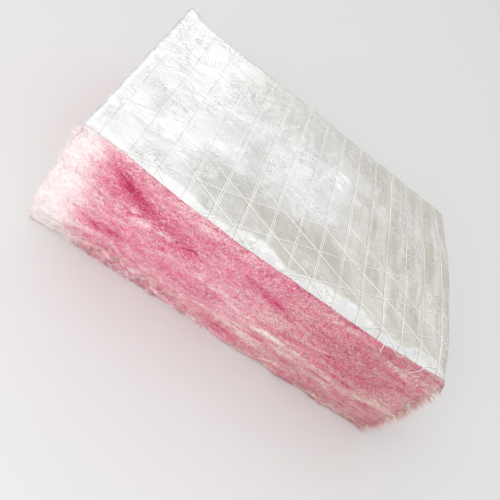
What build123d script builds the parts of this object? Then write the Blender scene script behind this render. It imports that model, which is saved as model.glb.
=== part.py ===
# A cut piece of foil-faced glass wool blanket, lying flat with its foil side up.
# The wool is one springy block, cut square from a blanket. A knife pulls the foil down
# at the cuts, so the top edges roll off, and the wool swells out a little below them.
# The foil is a laminate bonded to the top. A laid net of glass yarns shows through it:
# straight warp yarns across the piece, and two sets of bias yarns that cross them.
# Sizes are in millimetres. X runs along the long cut face, Y away from it, Z up, and the
# origin is on the underside, at the middle of the piece.
import os
from math import asin, cos, radians, sin

from build123d import *

# The wool block, measured over its swollen sides
wool_length = 255.0
wool_width = 172.0
wool_thickness = 74.5

# How far each wall of the block stands back from its fullest place, at its foot and its head
left_foot_in = 2.0
left_head_in = 4.0
right_foot_in = 1.5
right_head_in = 1.5
front_foot_in = 0.5
front_head_in = 2.0
back_foot_in = 2.0
back_head_in = 1.5
right_end_bow = 5.5  # how far the right end bows out between its corners, seen from above
corner_radius = 5.0  # upright corners, seen from above
end_foot = 3.0  # radius where the two ends meet the underside
side_foot = 2.0  # the same for the long cut faces

# Radius with which the top rolls off at three of the cuts
left_roll = 5.0
right_roll = 12.0
back_roll = 12.0

# At the cut in front the top only sinks a little, over a short run, and is cut off sharp
front_sink = 2.2
front_run = 6.0

# How far down each side the foil's cut edge lies
left_lip = 4.0
right_lip = 10.0
back_lip = 9.0

facing_thickness = 0.25

# The laid net of yarns, which stands up from the foil as low ridges
yarn_height = 0.25
warp_width = 1.7  # a pair of yarns side by side
warp_spacing = 16.5
warp_offset = 0.3  # from the middle of the piece to the nearest warp
bias_width = 0.8
bias_spacing = 21.0
bias_angle = 24.0  # from the long edge
rising_offset = 7.6  # from the middle of the piece to the nearest yarn of each set
falling_offset = -1.7
bias_count = 13  # of each bias set, enough to reach past every corner

spare = 10.0  # by which cutting solids pass the piece
wall_clearance = 1.0  # by which the solid that trims the lips stands out past the sheet


def wall(size, grow, side, foot_in, head_in, head_drop=0.0):
    """One swollen wall of a side view, from its foot to its head. side is -1 or 1."""
    full = side * (size / 2 + grow)
    top = wool_thickness + grow
    foot = (full - side * foot_in, 0)
    head = (full - side * head_in, top - head_drop)
    return ThreePointArc(foot, (full, top / 2), head)


def long_view(grow):
    """The block seen from its long cut face."""
    top = wool_thickness + grow
    with BuildSketch() as view:
        with BuildLine():
            left = wall(wool_length, grow, -1, left_foot_in, left_head_in)
            right = wall(wool_length, grow, 1, right_foot_in, right_head_in)
            Line(left @ 0, right @ 0)
            Line(left @ 1, right @ 1)
        make_face()
        fillet(view.vertices().group_by(Axis.Y)[-1].sort_by(Axis.X)[0], left_roll + grow)
        fillet(view.vertices().group_by(Axis.Y)[-1].sort_by(Axis.X)[-1], right_roll + grow)
        fillet(view.vertices().group_by(Axis.Y)[0], end_foot)
    return view.sketch_local


def end_view(grow):
    """The block seen from its right end, its front on the left."""
    top = wool_thickness + grow
    radius = (front_run**2 + front_sink**2) / (2 * front_sink)
    half_turn = asin(front_run / radius) / 2
    with BuildSketch() as view:
        with BuildLine():
            front = wall(wool_width, grow, -1, front_foot_in, front_head_in, front_sink)
            back = wall(wool_width, grow, 1, back_foot_in, back_head_in)
            shoulder_end = ((front @ 1).X + front_run, top)
            centre = (shoulder_end[0], top - radius)
            on_shoulder = (centre[0] - radius * sin(half_turn), centre[1] + radius * cos(half_turn))
            ThreePointArc(front @ 1, on_shoulder, shoulder_end)
            Line(shoulder_end, back @ 1)
            Line(back @ 0, front @ 0)
        make_face()
        fillet(view.vertices().group_by(Axis.Y)[-1].sort_by(Axis.X)[-1], back_roll + grow)
        fillet(view.vertices().group_by(Axis.Y)[0], side_foot)
    return view.sketch_local


def plan_view(grow):
    """The block seen from above. Its right end bows out."""
    half_length = wool_length / 2 + grow
    half_width = wool_width / 2 + grow
    corner = half_length - right_end_bow
    with BuildSketch() as view:
        with BuildLine():
            left_back = (-half_length, half_width)
            left_front = (-half_length, -half_width)
            Polyline((corner, half_width), left_back, left_front, (corner, -half_width))
            ThreePointArc((corner, -half_width), (half_length, 0), (corner, half_width))
        make_face()
        fillet(view.vertices(), corner_radius + grow)
    return view.sketch_local


def block(grow):
    """The wool block, grown outwards by grow on its sides and top."""
    reach = max(wool_length, wool_width) / 2 + spare
    with BuildPart() as body:
        with BuildSketch(Plane.XZ.offset(-reach)):
            add(long_view(grow))
        extrude(amount=2 * reach)
        with BuildSketch(Plane.YZ.offset(-reach)):
            add(end_view(grow))
        extrude(amount=2 * reach, mode=Mode.INTERSECT)
        with BuildSketch(Plane.XY):
            add(plan_view(grow))
        extrude(amount=wool_thickness + spare, mode=Mode.INTERSECT)
    return body.part


def below_lips(grow):
    """Everything that lies further down a side than the cut edge of the foil there."""
    front = -wool_width / 2 + front_head_in + front_run / 2
    back = wool_width / 2 - back_head_in - back_roll
    left = -wool_length / 2 + left_head_in + left_roll
    right = wool_length / 2 - right_head_in - right_roll
    past_back = wool_width / 2 + spare
    past_left = -wool_length / 2 - spare
    front_start = Plane((0, front, -front_sink - grow), x_dir=(1, 0, 0), z_dir=(0, -1, 0))
    back_start = Plane((0, past_back, -back_lip - grow), x_dir=(1, 0, 0), z_dir=(0, -1, 0))
    right_start = Plane((right, 0, -right_lip - grow), x_dir=(0, 1, 0), z_dir=(1, 0, 0))
    left_start = Plane((past_left, 0, -left_lip - grow), x_dir=(0, 1, 0), z_dir=(1, 0, 0))
    with BuildPart() as cutter:
        with BuildSketch(front_start):
            add(long_view(grow))
        extrude(amount=front_run + spare)
        with BuildSketch(back_start):
            add(long_view(grow))
        extrude(amount=past_back - back)
        with BuildSketch(right_start):
            add(end_view(grow))
        extrude(amount=right_roll + spare)
        with BuildSketch(left_start):
            add(end_view(grow))
        extrude(amount=left - past_left)
        with BuildSketch(Plane.XY):
            Rectangle(wool_length + 4 * spare, wool_width + 4 * spare)
        extrude(amount=-spare)
    return cutter.part


def skin(inner, outer):
    """The sheet between two growths of the block, as far as it covers the top and rolls."""
    shell = block(outer) - block(inner)
    deepest = max(left_lip, right_lip, back_lip) + right_roll
    with BuildPart() as upper:
        with BuildSketch(Plane.XY.offset(wool_thickness - deepest)):
            Rectangle(wool_length + 2 * spare, wool_width + 2 * spare)
        extrude(amount=deepest + spare)
    return (shell & upper.part) - below_lips(outer + wall_clearance)


# Glass wool block
block_shape = block(0)
with BuildPart() as wool:
    add(block_shape)
wool.part.label = "glass_wool_batt"

# Foil facing
facing_shape = skin(0, facing_thickness)
with BuildPart() as facing:
    add(facing_shape)
facing.part.label = "foil_facing"

# Laid net of glass yarns
net_skin = skin(facing_thickness, facing_thickness + yarn_height)
warp_count = 2 * round(wool_length / warp_spacing / 2) + 1
bias_length = wool_length + wool_width
upright = 1 / cos(radians(bias_angle))  # a bias distance is this much longer along Y
with BuildPart() as scrim:
    with BuildSketch(Plane.XY):
        with Locations((warp_offset, 0)):
            with GridLocations(warp_spacing, 0, warp_count, 1):
                Rectangle(warp_width, wool_width + spare)
        with Locations((0, rising_offset * upright)):
            with GridLocations(0, bias_spacing * upright, 1, bias_count):
                Rectangle(bias_length, bias_width, rotation=bias_angle)
        with Locations((0, falling_offset * upright)):
            with GridLocations(0, bias_spacing * upright, 1, bias_count):
                Rectangle(bias_length, bias_width, rotation=-bias_angle)
    extrude(amount=wool_thickness + spare)
    add(net_skin, mode=Mode.INTERSECT)
scrim.part.label = "scrim"

os.makedirs("parts", exist_ok=True)
export_step(wool.part, "parts/glass_wool_batt.step")
export_step(facing.part, "parts/foil_facing.step")
export_step(scrim.part, "parts/scrim.step")
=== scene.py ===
# A cut piece of foil-faced glass wool blanket, dressed over its solids.
# The wool is a dense displaced block with short fibres matted over its cut faces. The foil is a
# soft, creased sheet that rolls off at the cuts, and the laid net of yarns shows on it as fine ribs.
import bpy
import math
import numpy as np
from mathutils import Matrix, Vector


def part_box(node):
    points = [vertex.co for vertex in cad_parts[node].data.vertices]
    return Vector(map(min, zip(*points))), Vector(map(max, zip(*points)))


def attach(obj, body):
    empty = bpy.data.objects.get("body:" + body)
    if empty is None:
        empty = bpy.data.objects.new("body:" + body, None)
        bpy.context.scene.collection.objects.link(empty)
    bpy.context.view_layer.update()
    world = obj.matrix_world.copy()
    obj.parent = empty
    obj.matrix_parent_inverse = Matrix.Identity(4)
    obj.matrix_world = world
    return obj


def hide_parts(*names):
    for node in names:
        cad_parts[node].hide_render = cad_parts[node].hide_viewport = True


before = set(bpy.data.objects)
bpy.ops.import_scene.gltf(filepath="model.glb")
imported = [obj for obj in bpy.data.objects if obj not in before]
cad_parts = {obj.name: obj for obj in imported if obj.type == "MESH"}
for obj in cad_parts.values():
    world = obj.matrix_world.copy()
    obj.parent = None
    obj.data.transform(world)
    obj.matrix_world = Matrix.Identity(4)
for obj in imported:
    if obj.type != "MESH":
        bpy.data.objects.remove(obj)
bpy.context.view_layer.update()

mm = 0.001


def addObject(name, data):
    obj = bpy.data.objects.new(name, data)
    bpy.context.collection.objects.link(obj)
    return obj


# The camera stands where the photograph was taken from

camera = {
    "place": (-0.0902, -0.2920, 0.2585),
    "right": (0.79714, 0.23743, 0.55515),
    "up": (-0.55620, 0.64656, 0.52212),
    "forward": (0.23498, 0.72497, -0.64746),
    "lens": 40.2,
}


def makeCamera():
    data = bpy.data.cameras.new("camera")
    data.lens = camera["lens"]
    data.sensor_width = 36.0
    data.clip_start = 0.01
    obj = addObject("camera", data)
    turn = Matrix([camera["right"], camera["up"], [-c for c in camera["forward"]]]).transposed()
    obj.matrix_world = Matrix.Translation(camera["place"]) @ turn.to_4x4()
    bpy.context.scene.camera = obj


makeCamera()
print("camera placed")


# Shader tools

class Wire:  # a socket that can be used in sums
    def __init__(self, finish, socket):
        self.finish = finish
        self.socket = socket

    def math(self, operation, first, second):
        return self.finish.node("Math", {"operation": operation}, {0: first, 1: second})

    def __add__(self, other):
        return self.math("ADD", self, other)

    def __radd__(self, other):
        return self.math("ADD", other, self)

    def __sub__(self, other):
        return self.math("SUBTRACT", self, other)

    def __rsub__(self, other):
        return self.math("SUBTRACT", other, self)

    def __mul__(self, other):
        return self.math("MULTIPLY", self, other)

    def __rmul__(self, other):
        return self.math("MULTIPLY", other, self)


class Finish:  # the node tree of one material, or of the world
    def __init__(self, owner):
        owner.use_nodes = True
        self.owner = owner
        self.tree = owner.node_tree
        self.tree.nodes.clear()

    def node(self, kind, settings=None, sockets=None, out=0):
        made = self.tree.nodes.new("ShaderNode" + kind)
        for key, value in (settings or {}).items():
            if key == "stops":
                ramp = made.color_ramp
                while len(ramp.elements) < len(value):
                    ramp.elements.new(0.5)
                for element, (place, colour) in zip(ramp.elements, value):
                    element.position = place
                    element.color = (*colour, 1.0)
            else:
                setattr(made, key, value)
        for key, value in (sockets or {}).items():
            if isinstance(value, Wire):
                self.tree.links.new(value.socket, made.inputs[key])
            else:
                made.inputs[key].default_value = value
        return Wire(self, made.outputs[out]) if len(made.outputs) else made

    def value(self, name):  # a number that the mesh holds at each point
        return self.node("Attribute", {"attribute_name": name}, out=2)

    def place(self):
        return self.node("TexCoord", {}, out=3)

    def asColour(self, value):
        return value if isinstance(value, Wire) else (*value, 1.0)

    def mixColour(self, amount, first, second):
        sockets = {0: amount, 6: self.asColour(first), 7: self.asColour(second)}
        return self.node("Mix", {"data_type": "RGBA"}, sockets, out=2)

    def tint(self, colour, by):
        settings = {"data_type": "RGBA", "blend_type": "MULTIPLY"}
        return self.node("Mix", settings, {0: 1.0, 6: colour, 7: self.asColour(by)}, out=2)

    def noise(self, place, scale, detail=3.0, rough=0.5, twist=0.0):
        kind = {"Scale": scale, "Detail": detail, "Roughness": rough, "Distortion": twist}
        return self.node("TexNoise", {}, {"Vector": place, **kind})

    def away(self, phase, spacing):  # distance to the nearest whole number of phase, with its sign
        part = self.node("Math", {"operation": "FRACT"}, {0: phase + 0.5})
        return (part - 0.5) * spacing

    def size(self, value):
        return self.node("Math", {"operation": "ABSOLUTE"}, {0: value})

    def smooth(self, value, low, high):
        settings = {"interpolation_type": "SMOOTHSTEP"}
        return self.node("MapRange", settings, {"Value": value, "From Min": low, "From Max": high})

    def spread(self, place, scales):
        return self.node("VectorMath", {"operation": "MULTIPLY"}, {0: place, 1: scales})

    def bump(self, strength, distance, height):
        return self.node("Bump", {}, {"Strength": strength, "Distance": distance, "Height": height})

    def surface(self, sockets):
        shader = self.node("BsdfPrincipled", {}, sockets)
        self.node("OutputMaterial", {}, {"Surface": shader})
        return self


def newFinish(name):
    return Finish(bpy.data.materials.new(name))


# Noise and ramps for shapes, in millimetres

def fade(t):
    return t * t * t * (t * (t * 6 - 15) + 10)


def flatNoise(x, y, seed):
    angle = np.random.RandomState(seed).rand(256, 256) * 2 * np.pi
    gx, gy = np.cos(angle), np.sin(angle)
    x0, y0 = np.floor(x).astype(int), np.floor(y).astype(int)
    dx, dy = x - x0, y - y0

    def corner(i, j):
        a, b = (x0 + i) & 255, (y0 + j) & 255
        return gx[a, b] * (dx - i) + gy[a, b] * (dy - j)

    u, v = fade(dx), fade(dy)
    low = corner(0, 0) * (1 - u) + corner(1, 0) * u
    high = corner(0, 1) * (1 - u) + corner(1, 1) * u
    return 1.5 * (low * (1 - v) + high * v)


def solidNoise(p, scales, seed):
    table = np.random.RandomState(seed).rand(64, 64, 64) * 2 - 1
    q = p / np.array(scales)
    base = np.floor(q).astype(int)
    d = fade(q - base)
    total = 0.0
    for i in (0, 1):
        for j in (0, 1):
            for k in (0, 1):
                share = (d[:, 0] if i else 1 - d[:, 0]) * (d[:, 1] if j else 1 - d[:, 1])
                share = share * (d[:, 2] if k else 1 - d[:, 2])
                at = (base + np.array([i, j, k])) & 63
                total = total + share * table[at[:, 0], at[:, 1], at[:, 2]]
    return total


def ramp(x, low, high):
    t = np.clip((x - low) / (high - low), 0, 1)
    return t * t * (3 - 2 * t)


def patch(s, t, middleS, middleT, halfS, halfT):  # 1 inside a rounded box, and falling to 0 around it
    return np.exp(-(((s - middleS) / halfS) ** 4) - ((t - middleT) / halfT) ** 4)


# Mesh tools

def makePiece(name, points, faces, finish, uv=None, values=None):
    mesh = bpy.data.meshes.new(name)
    points = np.ascontiguousarray(points, dtype=np.float32) * mm
    faces = np.ascontiguousarray(faces, dtype=np.int32)
    corners = faces.shape[1]
    mesh.vertices.add(len(points))
    mesh.vertices.foreach_set("co", points.ravel())
    mesh.loops.add(faces.size)
    mesh.loops.foreach_set("vertex_index", faces.ravel())
    mesh.polygons.add(len(faces))
    mesh.polygons.foreach_set("loop_start", np.arange(0, faces.size, corners, dtype=np.int32))
    mesh.polygons.foreach_set("use_smooth", np.full(len(faces), True))
    mesh.update(calc_edges=True)
    for key, value in (values or {}).items():
        layer = mesh.attributes.new(key, "FLOAT", "POINT")
        layer.data.foreach_set("value", np.ascontiguousarray(value, dtype=np.float32))
    if uv is not None:
        layer = mesh.uv_layers.new(name="OFBake")
        layer.data.foreach_set("uv", uv[faces.ravel()].astype(np.float32).ravel())
    obj = addObject(name, mesh)
    mesh.materials.append(finish.owner)
    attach(obj, "root")
    return obj


def gridFaces(rows, columns):
    at = np.arange(rows * columns).reshape(rows, columns)
    return np.stack([at[:-1, :-1], at[:-1, 1:], at[1:, 1:], at[1:, :-1]], axis=-1).reshape(-1, 4)


# The foil sheet's shape: s runs along its length and t across it, in mm from the middle

foilSheet = {
    "left": 125.7, "right": 121.7, "back": 86.0,  # from the middle to each rolled side
    "leftRoll": 5.0, "rightRoll": 12.0, "backRoll": 12.0,
    "leftTurn": 1.37, "rightTurn": 1.40, "backTurn": 1.32,  # radians that it rolls through
    "front": 84.2,  # to the cut edge in front, which only slopes down
    "frontDrop": 2.3,
    "frontRun": 3.8,  # width of that slope
    # where the slope is wider: middle, half length, how much wider
    "frontDips": [(-76, 16, 3.6), (-20, 14, 7.0), (34, 24, 8.2), (104, 15, 7.0)],
    "frontRagged": 1.2,
    "frontInset": (4.6, 3.4),  # how much shorter it is at the left and right corners
    "rightBow": 5.5,  # how far the right end bows out between its corners
    "top": 74.75,
    "corner": 3.0,
    "thickness": 0.18,
    "cell": 0.78,
    "sway": 0.9,
    "pillow": 0.72,
    "tent": 0.10,  # how far each warp lifts the foil
    "creases": 0.48,
    "crumple": 0.07,
    "folds": 0.42,  # along the warps at the right end
    # a puckered spot: its middle s and t, how far out its rays lie and spread, and their height
    "pucker": (8, 26, 14, 13, 0.75),
    "nicks": (-73, -1, 18, 12, 0.22),  # small creases across: middle s and t, half sizes, height
    "seed": 41,
}

yarnNet = {
    "warpSpacing": 16.5, "warpOffset": 0.3, "warpGap": 1.3, "warpWidth": 0.45, "lean": 4.5,
    "biasSpacing": 21.0, "biasAngle": 24.0, "biasWidth": 0.36,
    "risingOffset": 7.6, "fallingOffset": -1.7,
    "rise": 0.16,
    "step": 1.6,
    # torn ends: place along the front, length, curl
    "looseEnds": [(71, 6.0, 0.5), (105, 9.0, -0.3), (-42, 3.5, 0.8)],
}


def frontRun(s):
    wide = 0
    for middle, half, more in foilSheet["frontDips"]:
        wide = wide + more * np.exp(-(((s - middle) / half) ** 4))
    return foilSheet["frontRun"] + wide + foilSheet["frontRagged"] * flatNoise(s / 9, s * 0 + 0.5, 70)


def frontEdge(s):
    left, right = foilSheet["frontInset"]
    return foilSheet["front"] - left * ramp(-s, 30, 128) - right * ramp(s, 60, 128)


def frontDrop(s, t):
    run = frontRun(s)
    over = np.maximum(-t - (foilSheet["front"] - run), 0) / run
    return foilSheet["frontDrop"] * over ** 1.2


def rightHalf(t):
    return foilSheet["right"] + foilSheet["rightBow"] * np.clip(1 - (t / 86) ** 2, 0, 1)


def rollOff(s, half, roll):
    # a sheet that turns down over a round edge: where it is, and how far it has dropped
    over = s - (half - roll)
    turn = np.clip(over / roll, 0, np.pi / 2)
    beyond = np.maximum(over - roll * np.pi / 2, 0)
    place = np.where(over > 0, half - roll + roll * np.sin(turn), s)
    return place, roll * (1 - np.cos(turn)) + beyond


def foilHeight(x, y):  # the plain sheet over a place seen from above
    f = foilSheet
    total = frontDrop(x, y) ** 3
    sides = (
        (-x, f["left"], f["leftRoll"]),
        (x, rightHalf(y), f["rightRoll"]),
        (y, f["back"], f["backRoll"]),
    )
    for v, half, roll in sides:
        over = np.clip(v - (half - roll), 0, roll)
        total = total + (roll - np.sqrt(roll * roll - over * over)) ** 3
    return f["top"] - total ** (1 / 3)


def roundCorner(x, y, halfX, halfY, radius):
    dx, dy = x - (halfX - radius), y - (halfY - radius)
    inside = (dx > 0) & (dy > 0)
    scale = np.where(inside, np.maximum(dx, dy) / np.maximum(np.hypot(dx, dy), 1e-6), 1.0)
    roundX = np.where(inside, halfX - radius + dx * scale, x)
    roundY = np.where(inside, halfY - radius + dy * scale, y)
    return roundX, roundY


def foilBase(s, t):
    f = foilSheet
    x, dropRight = rollOff(s, rightHalf(t), f["rightRoll"])
    x, dropLeft = rollOff(-x, f["left"], f["leftRoll"])
    x = -x
    y, dropBack = rollOff(t, f["back"], f["backRoll"])
    # the back left corner isn't pulled down, and sticks out like a dog's ear
    ear = np.exp(-((np.maximum(s + f["left"] - 5, 0) / 8.0) ** 2)) * (t > 0)
    y = y + ear * (t - 0.5 - y) * ramp(t, 74, 86)
    dropBack = dropBack * (1 - 0.85 * ear)
    drop = (dropLeft ** 3 + dropRight ** 3 + dropBack ** 3 + frontDrop(s, t) ** 3) ** (1 / 3)
    r = f["corner"]
    backHalf = f["back"] + 4 * ear
    for sx, halfX in ((-1, f["left"]), (1, rightHalf(t))):
        for sy, halfY in ((-1, frontEdge(s)), (1, backHalf)):
            cx, cy = roundCorner(sx * x, sy * y, halfX, halfY, r)
            x, y = sx * cx, sy * cy
    return np.stack([x, y, f["top"] - drop], axis=-1)


def warpShift(s, t):  # the warps lean a little at the right, and wander
    return yarnNet["lean"] * ramp(s, -10, 110) * (t + 84) / 168 + 0.5 * flatNoise(s / 33, t / 40, 62)


def warpHalfGap(s):  # between the two yarns of a warp, which lie side by side at the right
    return yarnNet["warpGap"] / 2 * (1 - 0.65 * ramp(s, 30, 80))


def biasShift(s, t, sign):
    return 0.5 * flatNoise(s / 45, t / 45 + sign, 63)


def warpPhase(s, t):  # whole numbers lie on the warps
    return (s + warpShift(s, t) - yarnNet["warpOffset"]) / yarnNet["warpSpacing"]


def biasPhase(s, t, sign):  # and here on the yarns of one bias set
    n = yarnNet
    tilt = math.radians(n["biasAngle"])
    offset = n["risingOffset"] if sign > 0 else n["fallingOffset"]
    across = t * math.cos(tilt) - sign * s * math.sin(tilt)
    return (across + biasShift(s, t, sign) - offset) / n["biasSpacing"]


def foilPillows(s, t):
    # between the warps, strongest towards the right end, with a low ridge on each warp
    f = foilSheet
    phase = warpPhase(s, t)
    part = phase - np.floor(phase)
    strong = 0.10 + 0.90 * ramp(s, 5, 62)
    uneven = 0.8 + 0.6 * flatNoise(s / 20, t / 35, f["seed"] + 1)
    away = np.minimum(part, 1 - part) * yarnNet["warpSpacing"]
    folds = np.abs(flatNoise(phase * 2.6, t / 55, f["seed"] + 10))
    h = f["pillow"] * np.sin(np.pi * part) ** 0.8 * strong * uneven
    h = h + f["tent"] * np.exp(-((away / 1.3) ** 2))
    return h + f["folds"] * (0.3 - folds) * ramp(s, 20, 60)


def foilCreases(s, t):  # soft creases, deeper in some places, and a fine crumple all over
    f = foilSheet
    seed = f["seed"]
    wx = s + 4 * flatNoise(s / 22, t / 22, seed + 2)
    wy = t + 4 * flatNoise(s / 22, t / 22, seed + 3)
    creases = 0
    for size, weight, k in ((19, 1.0, 4), (10, 0.55, 5), (6, 0.25, 6)):
        creases = creases + weight * (0.32 - np.abs(flatNoise(wx / size, wy / (size * 0.8), seed + k)))
    where = 0.30 + 0.70 * ramp(flatNoise(s / 35, t / 30, seed + 7), -0.15, 0.45)
    crumple = flatNoise(wx / 4.6, wy / 3.6, seed + 14) + 0.5 * flatNoise(wx / 2.3, wy / 2.3, seed + 15)
    return f["creases"] * creases * where + f["crumple"] * crumple


def foilPucker(s, t):  # creases that run out from one spot, like a star's rays
    middleS, middleT, radius, spread, height = foilSheet["pucker"]
    ds, dt = s - middleS, t - middleT
    bend = 1.6 * flatNoise(ds / 14, dt / 14, foilSheet["seed"] + 8)
    rays = np.abs(np.sin(3.5 * np.arctan2(dt, ds) + bend))
    return height * rays ** 0.7 * np.exp(-(((np.hypot(ds, dt) - radius) / spread) ** 2))


def foilNicks(s, t):
    middleS, middleT, halfS, halfT, height = foilSheet["nicks"]
    near = np.exp(-(((s - middleS) / halfS) ** 2) - ((t - middleT) / halfT) ** 2)
    return height * near * np.abs(np.sin(0.6 * t + 3.0 * flatNoise(s / 9, t / 7, foilSheet["seed"] + 9)))


def foilRelief(s, t):
    f = foilSheet
    broad = flatNoise(s / 62, t / 48, f["seed"]) + 0.45 * flatNoise(s / 27, t / 22, f["seed"] + 12)
    h = f["sway"] * broad + foilPillows(s, t) + foilCreases(s, t) + foilPucker(s, t) + foilNicks(s, t)
    # held down at the front edge, and never pressed into the wool near the other edges
    h = h * ramp(t + frontEdge(s), -1, 9)
    ends = np.minimum(s + f["left"], f["right"] - s)
    inward = ramp(np.minimum(ends, f["back"] - t), -2, 12)
    return np.where(h < 0, h * inward, h)


def foilPoint(s, t):
    d = 0.25
    base = foilBase(s, t)
    du = foilBase(s + d, t) - foilBase(s - d, t)
    dv = foilBase(s, t + d) - foilBase(s, t - d)
    normal = np.cross(du, dv)
    normal /= np.maximum(np.linalg.norm(normal, axis=-1, keepdims=True), 1e-9)
    return base + normal * foilRelief(s, t)[..., None], normal


def foilReach():
    f = foilSheet
    return (
        -(f["left"] - f["leftRoll"] + f["leftRoll"] * f["leftTurn"]),
        f["right"] + f["rightBow"] - f["rightRoll"] + f["rightRoll"] * f["rightTurn"],
        -f["front"],
        f["back"] - f["backRoll"] + f["backRoll"] * f["backTurn"],
    )


def edgeWave(v, seed):
    return 0.7 * flatNoise(v / 17, v * 0 + 0.5, seed) + 0.35 * flatNoise(v / 4, v * 0 + 0.5, seed + 1)


def cutEdge(s, t):
    # moves the sheet's own edges in and out, and less and less inwards from them
    f = foilSheet
    left, right, front, back = foilReach()
    s = s - ramp(s, 60, 110) * (f["right"] + f["rightBow"] - rightHalf(t))
    leftWave = edgeWave(t, 51) * ramp(-s, -left - 12, -left)
    rightWave = 1.4 * edgeWave(t, 53) * ramp(s, right - 20, right)
    s = s + leftWave + rightWave
    t = t + (f["front"] - frontEdge(s)) * ramp(-t, -front - 40, -front)
    frontWave = 0.5 * edgeWave(s, 55) * ramp(-t, -front - 8, -front)
    backWave = 1.8 * edgeWave(s, 57) * ramp(t, back - 14, back)
    t = t + frontWave + backWave
    # the free corner at the back left is blunt
    a, b = roundCorner(-s, t, -left, back, 6.0)
    return -a, b


# Wool: where it is pale and where it is deep

woolLow, woolHigh = [np.array(c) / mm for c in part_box("glass_wool_batt")]

woolColour = {
    "stops": [  # from the deepest layers to the palest wisps
        (0.00, (0.52, 0.030, 0.100)),
        (0.22, (0.72, 0.120, 0.240)),
        (0.45, (0.80, 0.255, 0.370)),
        (0.65, (0.84, 0.410, 0.475)),
        (0.84, (0.91, 0.620, 0.655)),
        (1.00, (0.99, 0.885, 0.895)),
    ],
    "dull": (0.84, 0.96, 0.83),  # painted shade: what the colour is multiplied by towards the right hand end, which lies in shade, and a little near the foot
    "roughness": 0.95,
    "sheen": 0.25,
    "usual": 0.55,  # the tone that all the rest is added to
    "layers": (0.13, 0.15, 0.21),  # how much it changes over wide, long and thin layers
    "drawnOut": (-105, 40, 0.8),  # from where to where in x the thin layers get longer, and by how much
    "paintedGlowEnd": (92, 123, 0.99),  # painted light, where the left end glows: how far left of the middle it starts and is whole, and its tone
}

# Patches on the long cut face: middle x and z, half length, half height, slope, and how much
# paler (+) or deeper (-) they are
woolPatches = [
    (-95, 63, 16, 3.2, -0.35, -0.40),
    (-84, 57, 20, 4.5, -0.15, -0.30),
    (-68, 54, 14, 3.0, -0.12, -0.26),
    (-107, 52, 11, 2.4, 0.20, -0.40),
    (-93, 25, 18, 3.4, 0.27, -0.34),
    (-47, 49, 4.5, 2.4, 0.20, -0.70),
    (-45, 46, 9, 3.0, 0.20, -0.24),
    (7, 53, 9, 2.6, -0.10, -0.50),
    (18, 50, 8, 2.0, -0.20, -0.26),
    (-8, 56, 12, 1.8, -0.10, -0.22),
    (-20, 48, 12, 1.6, 0.05, -0.20),
    (74, 56, 9, 3.4, -0.20, -0.28),
    (52, 52, 20, 2.6, -0.10, -0.18),
    (88, 40, 9, 4.5, -0.20, -0.20),
    (-33, 63, 22, 4.0, 0.00, -0.14),
    (20, 61, 40, 5.0, 0.00, -0.14),
    (60, 55, 30, 6.0, 0.00, -0.14),
    (82, 38, 22, 6.0, 0.10, -0.14),
    (-86, 48, 14, 2.0, 0.06, 0.34),
    (-62, 47, 12, 2.0, 0.03, 0.28),
    (-37, 39, 14, 3.0, -0.05, 0.22),
    (-14, 34, 20, 4.0, -0.15, 0.14),
    (43, 41, 16, 2.6, 0.05, 0.18),
    (16, 16, 40, 6.0, 0.05, 0.16),
    (-64, 8, 50, 6.0, 0.00, 0.22),
    (36, 30, 30, 4.0, 0.10, 0.10),
    (-24, 58, 14, 2.0, -0.10, 0.14),
    (30, 58, 16, 1.8, 0.00, 0.14),
    (70, 24, 24, 5.0, 0.10, 0.10),
]


def woolTone(p):
    x, y, z = p[:, 0], p[:, 1], p[:, 2]
    broad = solidNoise(p, (34, 34, 9), 11)
    waved = p + 4 * solidNoise(p, (22, 22, 9), 12)[:, None] * np.array([0, 0, 1])
    streak = solidNoise(waved, (19, 19, 2.6), 13)
    fine = solidNoise(waved, (4.5, 4.5, 0.8), 14)
    drawnFrom, drawnTo, most = woolColour["drawnOut"]
    drawn = most * ramp(x, drawnFrom, drawnTo)
    fine = fine * (1 - drawn) + solidNoise(waved, (17, 17, 1.1), 15) * drawn
    wideLayers, longLayers, thinLayers = woolColour["layers"]
    tone = woolColour["usual"] + wideLayers * broad + longLayers * streak + thinLayers * fine
    front = ramp(-y, 60, 80)
    for px, pz, lengthHalf, heightHalf, slope, amount in woolPatches:
        across = z - pz - slope * (x - px)
        near = np.exp(-(((x - px) / lengthHalf) ** 2) - (across / heightHalf) ** 2)
        tone = tone + front * amount * near * (0.75 + 0.9 * streak + 1.0 * fine)
    # painted light: the left end glows palest, most of all at its front
    paleFrom, paleTo, palest = woolColour["paintedGlowEnd"]
    pale = ramp(6 * ramp(-z, -40, -5) + 4 * broad + 5 * streak - x, paleFrom, paleTo)
    pale = pale * (1 - 0.5 * ramp(y, -80, -10))
    tone = tone * (1 - 0.82 * pale) + palest * pale
    # painted shade: a little darker towards the right hand end
    tone = tone - 0.02 * ramp(x, 30, 110)
    # paler at the foot: partly the pale torn fluff, partly painted light that lifts the shade near the
    # floor
    tone = tone + 0.10 * ramp(-z, -10, 0)
    return tone


def woolPaintedShade(p):
    # painted shade, in uneven patches, towards the right hand end and near the foot
    patchy = 1 + 0.5 * solidNoise(p, (25, 25, 8), 17)
    return np.clip(ramp(p[:, 0], -30, 100) * patchy + 0.2 * ramp(-p[:, 2], -30, 0), 0, 1)


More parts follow.
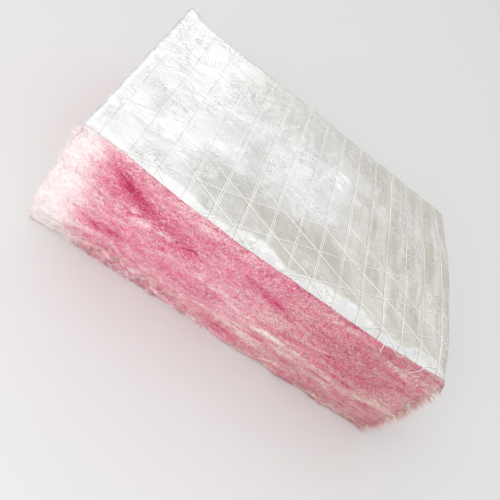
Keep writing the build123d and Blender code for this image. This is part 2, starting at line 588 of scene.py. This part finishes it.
def woolFinish():
    f = newFinish("pink glass wool")
    tone, dull, place = f.value("tone"), f.value("dull"), f.place()
    speck = f.noise(f.spread(place, (700.0, 700.0, 2100.0)), 1.0, 3.0, 0.7)
    # fewer specks where the tone is palest, which keeps the painted glow at the left end smooth
    specked = tone + (speck - 0.5) * (1.05 - f.smooth(tone, 0.8, 1.0) * 0.7)
    colour = f.node("ValToRGB", {"stops": woolColour["stops"]}, {"Fac": specked})
    depth = f.noise(f.spread(place, (500.0, 500.0, 1300.0)), 1.0, 3.0, 0.6)
    return f.surface({
        "Base Color": f.mixColour(dull, colour, f.tint(colour, woolColour["dull"])),
        "Roughness": woolColour["roughness"],
        "Specular IOR Level": 0.15,
        "Sheen Weight": woolColour["sheen"],
        "Sheen Roughness": 0.5,
        "Normal": f.bump(0.6, 0.0008, depth),
    })


# Wool block

woolBlock = {
    "cell": 1.6,  # mm
    "layerRelief": 0.8,  # mm, of the fine layers
    "broadRelief": 1.2,
    "footSpread": 3.0,  # how far the torn lower edge stands out
    "footTear": (-62, 52, 1.7),  # where it stands out most: middle x, half length, how many times more
    "seed": 21,
}

sideNames = ["front", "back", "left", "right", "under", "top"]


def sideOf(normal):  # a place in sideNames
    strongest = np.argmax(np.abs(normal), axis=1)
    positive = normal[np.arange(len(normal)), strongest] > 0
    pairs = ((2, 3), (0, 1), (4, 5))  # the sides that face down and up each axis
    return np.choose(strongest, [np.where(positive, up, down) for down, up in pairs])


def woolUv(p, side):
    x, y, z = (p - woolLow).T
    spots = {  # of each side: what runs across and up the map, and where it starts, in mm
        0: (x, z, 0, 0), 1: (x, z, 268, 0), 2: (y, z, 0, 88),
        3: (y, z, 192, 88), 4: (x, y, 0, 176), 5: (x, y, 268, 176),
    }
    u, v = np.zeros(len(p)), np.zeros(len(p))
    for number, (a, b, left, low) in spots.items():
        pick = side == number
        u[pick], v[pick] = (a + left)[pick], (b + low)[pick]
    margin, mapSize = 3, 545
    return np.stack([(u + margin) / mapSize, (v + margin) / mapSize], axis=-1)


def boxSurface(low, high, cell):
    counts = np.maximum(2, np.round((high - low) / cell).astype(int))
    points, faces = [], []
    for axis in range(3):
        a, b = [k for k in range(3) if k != axis]
        u = np.linspace(low[a], high[a], counts[a] + 1)
        v = np.linspace(low[b], high[b], counts[b] + 1)
        gu, gv = np.meshgrid(u, v, indexing="ij")
        for value, flip in ((low[axis], axis != 1), (high[axis], axis == 1)):
            grid = np.empty((gu.size, 3))
            grid[:, axis], grid[:, a], grid[:, b] = value, gu.ravel(), gv.ravel()
            quads = gridFaces(len(u), len(v))
            faces.append((quads[:, ::-1] if flip else quads) + sum(len(q) for q in points))
            points.append(grid)
    points, faces = np.concatenate(points), np.concatenate(faces)
    whole = np.round(points / cell * 8).astype(int)
    _, first, back = np.unique(whole, axis=0, return_index=True, return_inverse=True)
    return points[first], back.ravel()[faces]


def vertexNormals(points, faces):
    a, b, c, d = [points[faces[:, k]] for k in range(4)]
    face = np.cross(c - a, d - b)
    total = np.zeros_like(points)
    for k in range(4):
        np.add.at(total, faces[:, k], face)
    return total / np.maximum(np.linalg.norm(total, axis=1, keepdims=True), 1e-9)


def wrapOnSolid(points, nodeName):
    mesh = bpy.data.meshes.new("wrap")
    mesh.from_pydata((points * mm).tolist(), [], [])
    obj = addObject("wrap", mesh)
    wrap = obj.modifiers.new("wrap", "SHRINKWRAP")
    wrap.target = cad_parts[nodeName]
    wrap.wrap_method = "NEAREST_SURFACEPOINT"
    shaped = obj.evaluated_get(bpy.context.evaluated_depsgraph_get()).data
    out = np.empty(len(points) * 3, dtype=np.float32)
    shaped.vertices.foreach_get("co", out)
    bpy.data.objects.remove(obj)
    bpy.data.meshes.remove(mesh)
    return out.reshape(-1, 3).astype(float) / mm


def underFoil(p):  # the wool stays below the foil, and well below it in from the edges
    f = foilSheet
    x, y = p[:, 0], p[:, 1]
    ends = np.minimum(x + f["left"], f["right"] - x)
    inward = np.minimum(ends, np.minimum(y + f["front"], f["back"] - y))
    cap = foilHeight(x, y) - 0.45 - 2.4 * ramp(inward, 4, 12)
    return np.clip(p[:, 2], 0, cap)


def woolRelief(p, n):
    w = woolBlock
    side = ramp(np.hypot(n[:, 0], n[:, 1]), 0.3, 0.9)
    layers = solidNoise(p, (16, 16, 2.4), w["seed"])
    fine = solidNoise(p, (6, 6, 1.7), w["seed"] + 1)
    broad = solidNoise(p, (40, 40, 16), w["seed"] + 2)
    out = side * (w["layerRelief"] * layers + 0.45 * fine + w["broadRelief"] * broad)
    # the torn foot, widest along one stretch of the cut face in front
    coarse = solidNoise(p, (9, 9, 20), w["seed"] + 3)
    ragged = 0.6 + 0.5 * coarse + 0.45 * solidNoise(p, (3.6, 3.6, 4), w["seed"] + 4)
    middle, half, more = w["footTear"]
    wide = 0.4 + more * ramp(-p[:, 1], 60, 84) * np.exp(-(((p[:, 0] - middle) / half) ** 4))
    corner = 1 - ramp(np.abs(p[:, 0]), 106, 122) * ramp(np.abs(p[:, 1]), 66, 82)
    out = out + w["footSpread"] * wide * corner * np.clip(ragged, 0, 2) * ramp(-p[:, 2], -17, -2) * side
    return out * ramp(-p[:, 2], -73.5, -68)  # held still where the foil is bonded on


def leanIn(p):  # the upright corner at the right in front leans in towards its foot
    return -2.0 * ramp(p[:, 0], 90, 120) * ramp(-p[:, 2], -50, 0) * ramp(-p[:, 1], 20, 80)


def leanBack(p):  # the cut face in front leans back to the foil's cut edge at its two ends
    return (foilSheet["front"] - frontEdge(p[:, 0])) * ramp(p[:, 2], 15, 72) * ramp(-p[:, 1], 60, 83)


def riseToFoil(p):  # and its top rises where the foil's cut edge isn't pulled down
    edge = frontEdge(p[:, 0])
    gap = foilSheet["frontDrop"] - frontDrop(p[:, 0], -edge)
    return gap * ramp(p[:, 2], 50, 72) * ramp(-p[:, 1], 66, 80)


def makeWool(finish):
    points, faces = boxSurface(woolLow, woolHigh, woolBlock["cell"])
    points = wrapOnSolid(points, "glass_wool_batt")
    normal = vertexNormals(points, faces)
    level = normal * np.array([1, 1, 0])
    level /= np.maximum(np.linalg.norm(level, axis=1, keepdims=True), 0.35)
    moved = points + level * woolRelief(points, normal)[:, None]
    moved[:, 0] += leanIn(points)
    moved[:, 1] += leanBack(points)
    moved[:, 2] += riseToFoil(points)
    moved[:, 2] = underFoil(moved)
    values = {"tone": woolTone(points), "dull": woolPaintedShade(points)}
    obj = makePiece("glassWool", moved, faces, finish, values=values)
    # each quad takes the part of the map for the side it lies on
    layer = obj.data.uv_layers.new(name="OFBake")
    quadSide = sideOf(np.stack([normal[faces[:, k]] for k in range(4)]).sum(0))
    flat = np.concatenate([woolUv(points[faces[:, k]], quadSide)[:, None] for k in range(4)], axis=1)
    layer.data.foreach_set("uv", flat.astype(np.float32).ravel())
    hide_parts("glass_wool_batt")
    print("wool block:", len(faces), "quads")
    return moved, faces


# Wool fibres: short ribbons, some matted along the layers and some that stand off in any direction

woolFibres = {
    "counts": {"front": 49500, "back": 38000, "left": 24000, "right": 24000},
    "length": (1.5, 5.5),
    "width": (0.12, 0.24),
    "wander": 17.0,  # degrees either side of the layers
    "loose": 0.42,  # share that lie in any direction
    "standing": {"front": 0.16, "back": 0.25, "left": 0.30, "right": 0.45},  # share that stand off the face
    "toneSpread": 0.27,
    "fringe": 8.0,  # mm from the upright corner at the right in front, where they stand off like a fringe
    "seed": 31,
}


def fromFringe(p):
    corner = np.array([woolHigh[0] - foilSheet["rightBow"], woolLow[1]])
    return np.linalg.norm(p[:, :2] - corner, axis=1)


def chooseRoots(rng, sideNumber, points, faces):  # places on one cut face, with the way that it faces there
    w = woolFibres
    count = w["counts"][sideNames[sideNumber]]
    corners = [points[faces[:, k]] for k in range(4)]
    across = np.cross(corners[2] - corners[0], corners[3] - corners[1])
    area = np.linalg.norm(across, axis=1) / 2
    normals = across / np.maximum(2 * area[:, None], 1e-9)
    middle = sum(corners) / 4
    # the cut face, with the strip of the top that the foil leaves bare in front
    bare = middle[:, 1] < 0.4 - frontEdge(middle[:, 0])
    facing = sideOf(normals)
    facing = np.where(bare & (facing == 5), 0, facing)
    below = middle[:, 2] < foilHeight(middle[:, 0], middle[:, 1]) - 0.8
    pick = (facing == sideNumber) & (bare | below)
    # more of them at the foot and on the fringe
    denser = 1 + 0.9 * ramp(-middle[:, 2], -10, 0) + 2.5 * ramp(-fromFringe(middle), -w["fringe"], 0)
    share = area * denser * pick
    chosen = rng.choice(len(faces), count, p=share / share.sum())
    a, b = rng.rand(count, 1), rng.rand(count, 1)
    q = [c[chosen] for c in corners]
    root = q[0] * (1 - a) * (1 - b) + q[1] * a * (1 - b) + q[2] * a * b + q[3] * (1 - a) * b
    return root, normals[chosen]


def fibreWays(rng, sideNumber, root, normal):  # where each fibre points, its length, and what sets it apart
    w = woolFibres
    count = len(root)
    along = np.array([1.0, 0, 0] if sideNumber < 2 else [0, 1.0, 0])
    along = along - normal * (normal @ along)[:, None]
    along /= np.maximum(np.linalg.norm(along, axis=1, keepdims=True), 1e-9)
    rise = np.cross(normal, along)
    waves = 1.4 * solidNoise(root, (14, 14, 7), w["seed"] + 7)
    lean = math.radians(w["wander"]) * (rng.randn(count) * 0.9 + waves)
    lean += np.pi * (rng.rand(count) < 0.5)
    lean = np.where(rng.rand(count) < w["loose"], rng.uniform(0, 2 * np.pi, count), lean)
    often = w["standing"][sideNames[sideNumber]] + 0.35 * ramp(-root[:, 2], -7, 0)
    standing = rng.rand(count) < often
    length = rng.uniform(*w["length"], count) * np.where(standing, 0.7, 1.0)
    lift = np.where(standing, rng.uniform(0.25, 0.9, count), rng.uniform(-0.02, 0.14, count))
    fringe = ramp(-fromFringe(root), -w["fringe"], -0.5 * w["fringe"]) * (rng.rand(count) < 0.75)
    outward = np.array([1.0, -0.25, -0.2]) + 0.35 * rng.randn(count, 3)
    length = length * (1 + 0.3 * fringe)
    lift = lift * (1 - 0.7 * ramp(root[:, 2], 64, 72))  # near the foil the fibres stay flat
    way = along * np.cos(lean)[:, None] + rise * np.sin(lean)[:, None] + normal * lift[:, None]
    way = way * (1 - fringe[:, None]) + outward * fringe[:, None]
    way /= np.linalg.norm(way, axis=1, keepdims=True)
    return way, length[:, None], standing, fringe


def ribbons(rng, root, normal, way, length):  # each fibre is two narrow quads that arch over the wool
    count = len(root)
    bend = (rng.randn(count, 1) * 0.25) * np.cross(normal, way) + (rng.randn(count, 1) * 0.08) * normal
    wide = np.cross(normal, way) + 0.5 * rng.randn(count, 1) * normal
    wide /= np.maximum(np.linalg.norm(wide, axis=1, keepdims=True), 1e-9)
    width = rng.uniform(*woolFibres["width"], count)[:, None]
    start = root - 0.35 * normal
    mid = start + way * length * 0.5 + bend * length * 0.5 + 0.4 * normal
    end = start + way * length + 0.15 * normal - bend * length * 0.2
    rings = []
    for place, part in ((start, 1.0), (mid, 1.0), (end, 0.35)):
        rings += [place - wide * width * part * 0.5, place + wide * width * part * 0.5]
    body = np.stack(rings, axis=1).reshape(-1, 3)
    outside = ramp(-body[:, 1] - frontEdge(body[:, 0]), -0.2, 1.0)
    ceiling = foilHeight(body[:, 0], body[:, 1]) - 0.3 + 1.2 * outside
    body[:, 2] = np.clip(body[:, 2], 0.05, ceiling)
    at = np.arange(count)[:, None] * 6
    return body, np.concatenate([at + np.array([0, 1, 3, 2]), at + np.array([2, 3, 5, 4])])


def makeFibres(sideNumber, finish, points, faces):
    side = sideNames[sideNumber]
    rng = np.random.RandomState(woolFibres["seed"] + sideNumber)
    root, normal = chooseRoots(rng, sideNumber, points, faces)
    way, length, standing, fringe = fibreWays(rng, sideNumber, root, normal)
    body, quads = ribbons(rng, root, normal, way, length)
    spread = woolFibres["toneSpread"] * (0.8 + 0.5 * ramp(root[:, 2], 15, 55))
    # fibres vary less at the left end, which keeps its painted glow smooth
    spread = spread * (1 - 0.6 * ramp(-root[:, 0], 88, 121))
    tone = woolTone(root) + spread * rng.randn(len(root)) + 0.08 * standing + 0.2 * fringe
    flat = np.clip(woolUv(body, np.full(len(body), sideNumber)), 0, 1)
    values = {"tone": np.repeat(tone, 6), "dull": np.repeat(woolPaintedShade(root), 6)}
    makePiece(side + "Fibres", body, quads, finish, uv=flat, values=values)
    print("fibres:", side, len(root))


# Foil: its metal, and the sheet

foilColour = {
    "cool": ((0.74, 0.74, 0.735), (0.88, 0.88, 0.875)),  # duller and brighter patches at the left
    "warm": ((0.68, 0.64, 0.56), (0.85, 0.815, 0.765)),  # and at the right, as a painted reflection of warmer surroundings
    "bright": (0.985, 0.985, 0.98),  # painted highlight, where the foil mirrors the well lit room
    "foldShade": (0.58, 0.54, 0.43),  # painted shade: the darker strips between folds at the right
    "between": (0.86, 0.825, 0.80),  # and painted highlight: the paler ones
    "shade": (0.60, 0.575, 0.515),  # painted shade: darker reflections along the back, and in one stretch behind the front edge
    "line": (0.50, 0.49, 0.46),  # painted shade: in the corner beside a yarn, and in the cracks and creases
    "roughness": 0.21,
}

# Patches of painted highlight, where the foil mirrors the well lit room: middle s, t, half length, half
# width, how much brighter
foilGlarePatches = [
    (-6, -4, 30, 25, 1.2),
    (-20, -50, 60, 11, -0.3),
    (-105, 0, 34, 90, 0.9),
    (-62, -22, 16, 16, 0.4),
    (22, 20, 14, 12, 0.5),
]


# painted highlight: how much of the foil's colour is glare from the well lit room, in patches and along the
# front cut edge
def paintedFoilGlare(s, t):
    bright = 0.15
    for middleS, middleT, halfS, halfT, amount in foilGlarePatches:
        bright = bright + amount * patch(s, t, middleS, middleT, halfS, halfT)
    # painted highlight along the front cut edge, where the foil slopes down
    strip = ramp(-t - foilSheet["front"] + 0.85 * frontRun(s), -0.8, 0.5)
    return np.clip(bright * (1 + 0.7 * flatNoise(s / 14, t / 14, 82)) + 0.8 * strip, 0, 1)


# painted shade: darker reflections along the back, and in one stretch behind the front edge, less where
# there is glare
def foilShade(s, t, mottle, bright):
    back = 0.55 * ramp(t + 6 * mottle, 22, 72) * ramp(s, -85, -35) * (1 - 0.5 * bright)
    return back + 0.60 * patch(s, t + 8 * mottle, -10, -60, 48, 17) * (1 - bright)


def foilValues(s, t):  # what the foil's mesh tells its finish at each point
    mottle = flatNoise(s / 40, t / 40, 81)
    bright = paintedFoilGlare(s, t)
    return {
        # painted reflection: warmer and duller towards the right and front, where the foil mirrors warmer
        # surroundings
        "warmth": ramp(s - 0.8 * t + 22 * mottle, -45, 85) * (1 - bright),
        "shade": foilShade(s, t, mottle, bright),
        "bright": bright,
        "strips": ramp(s, 5, 62) * ramp(t, -78, -48) * (1 - 0.8 * bright),
        "warp": warpPhase(s, t),
        "rising": biasPhase(s, t, 1),
        "falling": biasPhase(s, t, -1),
        "along": t,
        "halfGap": warpHalfGap(s),
        # how strongly the painted shade beside the yarns shows
        "lines": 0.45 + 0.55 * ramp(s, 0, 70) + 0.5 * flatNoise(s / 20, t / 12, 83),
        "warpShows": np.clip(yarnShows(s, t, True), 0, 1),
        "biasShows": np.clip(yarnShows(s, t, False), 0, 1),
    }


def nearLine(f, distance, inner, outer):  # 1 on a line, and 0 from the outer distance on
    return 1.0 - f.smooth(f.size(distance), inner, outer)


def foldMarks(f, value, place):  # painted shade and highlight in broad strips, and thin folds painted darker as shade, that run along the warps
    wander = f.noise(place, 28.0, 2.0, 0.5) - 0.5
    wide = f.node("CombineXYZ", {}, {0: value["warp"] * 1.9 + wander * 1.4, 1: value["along"] * 0.014})
    half = f.size(f.away(value["warp"] + 0.25 + wander * 0.5, 1.0))
    strips = f.noise(wide, 1.0, 2.0, 0.45) + f.smooth(half, 0.20, 0.30) * 0.13
    narrow = f.node("CombineXYZ", {}, {0: value["warp"] * 8.0 + wander * 9.0, 1: value["along"] * 0.03})
    thin = nearLine(f, f.noise(narrow, 1.0, 2.0, 0.5) - 0.5, 0.0, 0.035)
    return f.smooth(strips, 0.50, 0.62) * value["strips"], thin * value["strips"]


def yarnMarks(f, value):  # the painted shade in the corners beside the yarns, and the ridges that the yarns raise
    warp = f.away(value["warp"], yarnNet["warpSpacing"])
    lines = nearLine(f, warp + value["halfGap"] + 0.55, 0.15, 0.55) * value["lines"]
    ridge = nearLine(f, warp, 0.3, 1.8) * value["warpShows"]
    for key in ("rising", "falling"):
        bias = f.away(value[key], yarnNet["biasSpacing"])
        lines = lines + nearLine(f, bias + 0.5, 0.15, 0.5) * value["biasShows"] * 0.8
        ridge = ridge + nearLine(f, bias, 0.1, 1.0) * value["biasShows"]
    return lines, ridge


def foilFinish(valueNames):
    f = newFinish("creased foil facing")
    c = foilColour
    place = f.place()
    value = {name: f.value(name) for name in valueNames}
    soft = f.smooth(f.noise(place, 60.0, 4.0, 0.62, 0.6), 0.32, 0.68)
    fainter = f.smooth(f.noise(place, 36.0, 2.0, 0.5), 0.35, 0.62)
    strips, thin = foldMarks(f, value, place)
    patchy = f.smooth(f.noise(place, 45.0, 2.0, 0.5), 0.45, 0.65)
    crack = nearLine(f, f.noise(place, 170.0, 4.0, 0.6, 1.2) - 0.5, 0.0, 0.022) * patchy
    crease = nearLine(f, f.noise(place, 30.0, 2.0, 0.45, 0.3) - 0.5, 0.0, 0.011)
    lines, ridge = yarnMarks(f, value)
    cool, warm = f.mixColour(soft, *c["cool"]), f.mixColour(soft, *c["warm"])
    colour = f.mixColour(f.smooth(value["warmth"], 0.0, 1.0), cool, warm)
    coats = (
        # painted highlight and shade over the folds at the right: paler strips, darker strips and darker
        # thin folds
        (value["strips"] * 0.6, "between"),
        (strips * (0.30 + fainter * 0.55), "foldShade"),
        (thin * (0.3 + fainter * 0.4), "foldShade"),
        # painted shade: darker reflections along the back and behind the front edge
        (value["shade"], "shade"),
        # painted highlight where the foil mirrors the well lit room
        (value["bright"] * (0.55 + soft * 0.45), "bright"),
        # painted shade in the cracks, in the creases within the glare, and in the corners beside the yarns
        (crack * 0.6, "line"),
        (crease * fainter * value["bright"] * 0.34, "line"),
        (lines * 0.68, "line"),
    )
    for amount, tone in coats:
        colour = f.mixColour(amount, colour, c[tone])
    grain = f.noise(place, 1000.0, 2.0, 0.6)
    dents = f.noise(place, 260.0, 3.0, 0.55, 0.4)
    height = grain * 0.15 + dents * (0.7 + value["warmth"] * 0.8) + ridge * 0.6
    height = height - crack * 0.6 - crease * 0.4 - thin * 0.5
    return f.surface({
        "Base Color": colour,
        "Metallic": 1.0,
        "Roughness": c["roughness"] + (soft - 0.5) * 0.10,
        "Normal": f.bump(0.45, 0.0004, height),
    })


def makeFoil():
    f = foilSheet
    left, right, front, back = foilReach()
    s = np.linspace(left, right, int((right - left) / f["cell"]))
    t = np.linspace(front, back, int((back - front) / f["cell"]))
    gs, gt = np.meshgrid(s, t, indexing="ij")
    rows, columns = gs.shape
    top, _ = foilPoint(*cutEdge(gs, gt))
    # a thin turned edge runs round the sheet
    at = np.arange(rows * columns).reshape(rows, columns)
    ring = np.concatenate([at[:-1, 0], at[-1, :-1], at[:0:-1, -1], at[0, :0:-1]])
    rs, rt = gs.ravel()[ring], gt.ravel()[ring]
    turnedIn = 1.5
    inS = np.clip(rs, left + turnedIn, right - turnedIn)
    inT = np.clip(rt, front + turnedIn, back - turnedIn)
    edge, edgeNormal = foilPoint(*cutEdge(rs, rt))
    under, underNormal = foilPoint(*cutEdge(inS, inT))
    loops = [edge, edge - edgeNormal * f["thickness"], under - underNormal * (f["thickness"] + 0.05)]
    first = np.arange(len(ring))
    after = (first + 1) % len(ring)
    faces = [gridFaces(rows, columns)]
    for k in range(2):
        low = rows * columns + k * len(ring)
        high = low + len(ring)
        faces.append(np.stack([low + first, high + first, high + after, low + after], axis=-1))
    points = np.concatenate([top.reshape(-1, 3)] + loops)
    sheetS, sheetT = np.concatenate([gs.ravel(), rs, rs, inS]), np.concatenate([gt.ravel(), rt, rt, inT])
    uv = np.stack([sheetS - left, sheetT - front], axis=-1) / (right - left) * 0.98 + 0.01
    values = foilValues(sheetS, sheetT)
    faces = np.concatenate(faces)
    makePiece("foilSheet", points, faces, foilFinish(values), uv=uv, values=values)
    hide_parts("foil_facing")
    print("foil:", len(faces), "quads")


# Yarns of the laid net, each a low rib that follows the foil

def yarnFinish():
    f = newFinish("glass yarn under foil")
    place = f.place()
    bands = {"wave_type": "BANDS", "bands_direction": "DIAGONAL"}
    twist = f.node("TexWave", bands, {"Vector": place, "Scale": 900.0, "Distortion": 1.5, "Detail": 1.0})
    shows = f.value("shows") + (f.noise(place, 150.0, 2.0, 0.5) - 0.5) * 0.5
    return f.surface({
        "Base Color": f.mixColour(f.smooth(shows, 0.0, 1.0), (0.86, 0.84, 0.80), (0.985, 0.98, 0.95)),
        "Metallic": 0.85 - f.smooth(shows, 0.1, 0.9) * 0.75,
        "Roughness": 0.42,
        "Normal": f.bump(0.3, 0.0001, twist),
    })


def yarnShows(s, t, warp):  # how clearly a yarn shows through, from 0 to 1
    patchy = 0.35 * flatNoise(s / 26, t / 26, 66)
    if warp:
        even = 0.70 - 0.25 * ramp(s, -40, 10) - 0.12 * ramp(s, 30, 80)
        return even + patchy * (1 + 0.6 * ramp(s, 20, 60))
    return 0.90 - 0.85 * ramp(t, -50, 5) - 0.3 * ramp(-s, 50, 100) + patchy


def ribAlong(s, t, width, rise, points, faces, shows, warp):
    clear = yarnShows(s, t, warp)
    shows.append(np.repeat(clear, 4))
    rise = rise * (0.35 + 0.65 * np.clip(clear, 0, 1))[:, None]
    s, t = cutEdge(s, t)
    ds, dt = np.gradient(s), np.gradient(t)
    long = np.maximum(np.hypot(ds, dt), 1e-9)
    sideS, sideT = -dt / long, ds / long
    rows = []
    for offset, high in ((-0.5, -0.05), (-0.2, 1.0), (0.2, 1.0), (0.5, -0.05)):
        p, n = foilPoint(s + sideS * offset * width, t + sideT * offset * width)
        rows.append(p + n * rise * high)
    start = sum(len(p) for p in points)
    points.append(np.stack(rows, axis=1).reshape(-1, 3))
    faces.append(gridFaces(len(s), 4) + start)


def looseEnd(s, length, curl, points, faces, shows):  # a torn yarn end that hangs over the cut face
    k = np.linspace(0, 1, 12)
    root, _ = foilPoint(*cutEdge(np.array([s]), np.array([foilReach()[2] + 0.3])))
    x = root[0, 0] + curl * length * k * k + 0.3 * np.sin(5 * k)
    y = root[0, 1] - 1.6 * np.sin(np.pi * np.minimum(k * 1.3, 1) * 0.6)
    z = root[0, 2] + 0.15 - length * k ** 1.3
    line = np.stack([x, y, z], axis=-1)
    half = 0.28 * (1 - 0.6 * k)[:, None]
    start = sum(len(p) for p in points)
    row = [line + half * np.array(v) for v in ((-1, 0, 0), (0, -1, 0), (1, 0, 0), (0, 1, 0), (-1, 0, 0))]
    points.append(np.stack(row, axis=1).reshape(-1, 3))
    faces.append(gridFaces(len(k), 5) + start)
    shows.append(np.ones(5 * len(k)))


def makeYarns(finish):
    n = yarnNet
    left, right, front, back = foilReach()
    points, faces, shows = [], [], []
    first = math.ceil((left - n["warpOffset"]) / n["warpSpacing"])
    last = math.floor((right - n["warpOffset"]) / n["warpSpacing"])
    for k in range(first, last + 1):
        for part, share in ((-0.5, 1.0), (0.5, 0.8)):
            t = np.arange(front, back, n["step"])
            middle = n["warpOffset"] + k * n["warpSpacing"]
            s = middle - warpShift(middle - warpShift(middle + 0 * t, t), t)
            s = s + part * (2 * warpHalfGap(s) + 0.35 * flatNoise(t / 25, t * 0 + k * 1.7, 64))
            ribAlong(s, t, n["warpWidth"] * share, n["rise"] * share, points, faces, shows, True)
    tilt = math.radians(n["biasAngle"])
    for sign, offset in ((1, n["risingOffset"]), (-1, n["fallingOffset"])):
        for k in range(-9, 10):
            away = offset + k * n["biasSpacing"]
            run = np.arange(-220, 220, n["step"])
            s = run * math.cos(tilt) - sign * away * math.sin(tilt)
            t = sign * run * math.sin(tilt) + away * math.cos(tilt)
            shift = biasShift(s, t, sign)
            s, t = s + sign * shift * math.sin(tilt), t - shift * math.cos(tilt)
            keep = (s > left + 0.3) & (s < right - 0.3) & (t > front + 0.2) & (t < back - 0.2)
            if keep.sum() > 3:
                ribAlong(s[keep], t[keep], n["biasWidth"], n["rise"], points, faces, shows, False)
    for s, length, curl in n["looseEnds"]:
        looseEnd(s, length, curl, points, faces, shows)
    values = {"shows": np.concatenate(shows)}
    makePiece("yarnNet", np.concatenate(points), np.concatenate(faces), finish, values=values)
    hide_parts("scrim")
    print("yarns:", sum(len(q) for q in faces), "quads")


wool = woolFinish()
woolPoints, woolFaces = makeWool(wool)
for sideNumber in range(4):
    makeFibres(sideNumber, wool, woolPoints, woolFaces)
makeFoil()
makeYarns(yarnFinish())


# Floor, light and background

room = {
    "floorColours": ((0.78, 0.78, 0.775), (0.80, 0.80, 0.795)),
    "lamps": {  # where each one is, where it aims, its size, and its watts
        "backLamp": ((-0.42, 1.22, 0.60), (0, 0, 0.05), (1.15, 0.62), 0.5),  # the foil mirrors it
        "overheadLamp": ((-0.10, -0.15, 1.30), (0, 0, 0.05), (0.9, 0.9), 0.8),
        "frontLamp": ((-0.42, -0.75, 0.32), (0, 0, 0.03), (0.5, 0.5), 2.8),
    },
    "sky": [  # brightness of the room from the horizon (0) to overhead (1)
        (0.00, (0.50, 0.50, 0.50)),
        (0.30, (0.72, 0.72, 0.72)),
        (0.66, (0.70, 0.70, 0.70)),
        (0.82, (0.90, 0.90, 0.90)),
        (1.00, (0.66, 0.66, 0.66)),
    ],
    "farSide": 0.25,  # how much brighter the room is behind the piece
    "leftSide": 0.28,  # towards the left
    "panels": 0.8,  # and how much its brightness changes from place to place
}


def makeFloor():
    f = newFinish("pale floor")
    soft = f.noise(f.place(), 6.0, 2.0, 0.5)
    f.surface({"Base Color": f.mixColour(soft, *room["floorColours"]), "Roughness": 0.8})
    mesh = bpy.data.meshes.new("floor")
    r = 3.0
    mesh.from_pydata([(-r, -r, 0), (r, -r, 0), (r, r, 0), (-r, r, 0)], [], [(0, 1, 2, 3)])
    obj = addObject("floor", mesh)
    mesh.materials.append(f.owner)


def makeLamp(name, place, target, size, power):
    data = bpy.data.lights.new(name, "AREA")
    data.shape = "RECTANGLE"
    data.size, data.size_y = size
    data.energy = power
    obj = addObject(name, data)
    obj.location = place
    obj.rotation_mode = "QUATERNION"
    obj.rotation_quaternion = (Vector(target) - Vector(place)).to_track_quat("-Z", "Y")


def makeWorld():
    world = bpy.data.worlds.new("soft room")
    bpy.context.scene.world = world
    f = Finish(world)
    way = f.node("TexCoord", {}, out=0)
    toRight, toBack, height = [f.node("SeparateXYZ", {}, {0: way}, out=k) for k in range(3)]
    sky = f.node("ValToRGB", {"stops": room["sky"]}, {"Fac": height})
    strength = 1.0 + room["leftSide"] * f.smooth(toRight * -1.0, 0.0, 0.8)
    strength = strength + room["farSide"] * f.smooth(toBack, 0.0, 0.6)
    strength = strength + room["panels"] * (f.noise(way, 3.2, 2.0, 0.5, 0.3) - 0.5)
    lit = f.node("Background", {}, {"Color": sky, "Strength": strength})
    plain = f.node("Background", {}, {"Color": (0.9, 0.9, 0.9, 1.0), "Strength": 1.0})
    seen = f.node("LightPath", {}, out=0)
    f.node("OutputWorld", {}, {"Surface": f.node("MixShader", {}, {0: seen, 1: lit, 2: plain})})


makeFloor()
makeWorld()
for name, settings in room["lamps"].items():
    makeLamp(name, *settings)
bpy.context.scene.view_settings.view_transform = "Standard"
print("room lit")
